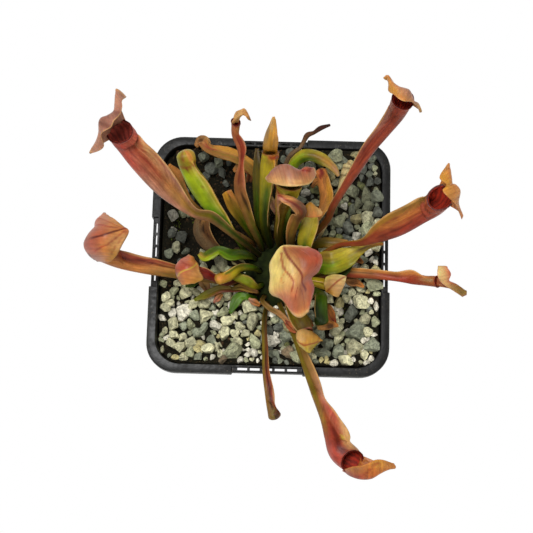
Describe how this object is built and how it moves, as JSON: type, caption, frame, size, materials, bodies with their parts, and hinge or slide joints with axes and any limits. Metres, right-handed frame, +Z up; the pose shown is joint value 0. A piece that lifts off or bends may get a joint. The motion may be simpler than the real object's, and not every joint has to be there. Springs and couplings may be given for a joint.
{
  "type": "potted pitcher plant",
  "caption": "Clump of hollow, hooded and winged pitcher leaves growing from one crown in a black square plastic nursery pot, filled with peat mix and dressed with pale pumice grit.",
  "frame": {"origin": "centre of the pot's flat underside, where it stands on the table", "axes": "+Z up, +X to the right of the picture, +Y away from its viewer; the pot's flat sides face along X and Y"},
  "size_m": [0.1367, 0.128, 0.1689],
  "materials": {
    "black_plastic": "injection-moulded black polypropylene, satin, with dust and pale scuffs on the rim",
    "peat": "damp, crumbly dark peat mix",
    "pumice": "rough, angular cream, greenish and grey pumice grit, dry",
    "rootstock": "fibrous brown rootstock",
    "pitcher_back_left": "waxy pink-red pitcher with a maroon mouth",
    "pitcher_left": "waxy orange-tan pitcher with red-brown veins",
    "pitcher_left_small": "waxy dark red pitcher with a pink and orange hood",
    "pitcher_lime_shut": "glossy lime-green shut pitcher with an orange-brown lid",
    "pitcher_back_twisted": "twisted red pitcher with a dried tan hood",
    "pitcher_back_yellow": "waxy golden pitcher, olive at its foot",
    "pitcher_pink_hood": "yellow-green pitcher with a mauve-pink hood",
    "pitcher_brown_shrunk": "shrunken pink-brown pitcher",
    "pitcher_orange_round": "yellow-green pitcher with an orange hood",
    "pitcher_dry_orange": "dry tan-orange pitcher with a dark red tip",
    "pitcher_tall_back_right": "waxy red-brown pitcher with a tan and mauve hood",
    "pitcher_right": "waxy orange and olive pitcher with red-brown stripes",
    "pitcher_right_slim": "slim red-brown pitcher with a cream and pink hood",
    "pitcher_centre_large": "large salmon and pale yellow hood with orange veins",
    "pitcher_small_amber": "small golden pitcher with a dark red fold",
    "pitcher_green_dry_lip": "green pitcher with a dried tan lip",
    "pitcher_olive_wide": "wide olive pitcher with an orange and lime hood",
    "pitcher_front_long": "long green to pink-red pitcher with a golden veined hood",
    "pitcher_front_slim": "slim olive-brown shut pitcher with a maroon stripe",
    "pitcher_shut_upper": "glossy yellow-green shut pitcher with an orange tip",
    "pitcher_shut_lower": "glossy yellow-green shut pitcher",
    "pitcher_dry_crumpled": "crumpled, dried tan-brown pitcher",
    "leaf_back_curved": "golden leaf with a dry brown tip",
    "leaf_back_spotted": "golden-green leaf with dark spots",
    "leaf_back_slender": "slender dark olive leaf",
    "leaf_back_right_arched": "arched green to yellow leaf",
    "leaf_right_yellow": "wide lime and tan leaf with a thin dry tip",
    "leaf_right_pale_tip": "tan-olive leaf",
    "leaf_inner_bright": "young bright green leaf",
    "leaf_left_curled": "curled green leaf with a tan tip",
    "leaf_front_left_narrow": "narrow olive-yellow leaf with a red-brown strand",
    "leaf_front_left_pointed": "pointed bright green leaf",
    "leaf_front_ribbon": "dry tan-pink ribbon of a leaf",
    "leaf_back_dry_tip": "thin dry tan-orange leaf",
    "stalk_dead": "dead, nearly black stalk",
    "tube_dry_fallen": "papery cream dead tube with dark bands"
  },
  "bodies": {
    "root": {"pot": "black_plastic", "potting_mix": "peat", "pumice_gravel": "pumice", "rhizome": "rootstock", "pitcher_back_left": "pitcher_back_left", "pitcher_left": "pitcher_left", "pitcher_left_small": "pitcher_left_small", "pitcher_lime_shut": "pitcher_lime_shut", "pitcher_back_twisted": "pitcher_back_twisted", "pitcher_back_yellow": "pitcher_back_yellow", "pitcher_pink_hood": "pitcher_pink_hood", "pitcher_brown_shrunk": "pitcher_brown_shrunk", "pitcher_orange_round": "pitcher_orange_round", "pitcher_dry_orange": "pitcher_dry_orange", "pitcher_tall_back_right": "pitcher_tall_back_right", "pitcher_right": "pitcher_right", "pitcher_right_slim": "pitcher_right_slim", "pitcher_centre_large": "pitcher_centre_large", "pitcher_small_amber": "pitcher_small_amber", "pitcher_green_dry_lip": "pitcher_green_dry_lip", "pitcher_olive_wide": "pitcher_olive_wide", "pitcher_front_long": "pitcher_front_long", "pitcher_front_slim": "pitcher_front_slim", "pitcher_shut_upper": "pitcher_shut_upper", "pitcher_shut_lower": "pitcher_shut_lower", "pitcher_dry_crumpled": "pitcher_dry_crumpled", "leaf_back_curved": "leaf_back_curved", "leaf_back_spotted": "leaf_back_spotted", "leaf_back_slender": "leaf_back_slender", "leaf_back_right_arched": "leaf_back_right_arched", "leaf_right_yellow": "leaf_right_yellow", "leaf_right_pale_tip": "leaf_right_pale_tip", "leaf_inner_bright": "leaf_inner_bright", "leaf_left_curled": "leaf_left_curled", "leaf_front_left_narrow": "leaf_front_left_narrow", "leaf_front_left_pointed": "leaf_front_left_pointed", "leaf_front_ribbon": "leaf_front_ribbon", "leaf_back_dry_tip": "leaf_back_dry_tip", "stalk_dead": "stalk_dead", "tube_dry_fallen": "tube_dry_fallen"}
  },
  "joints": []
}
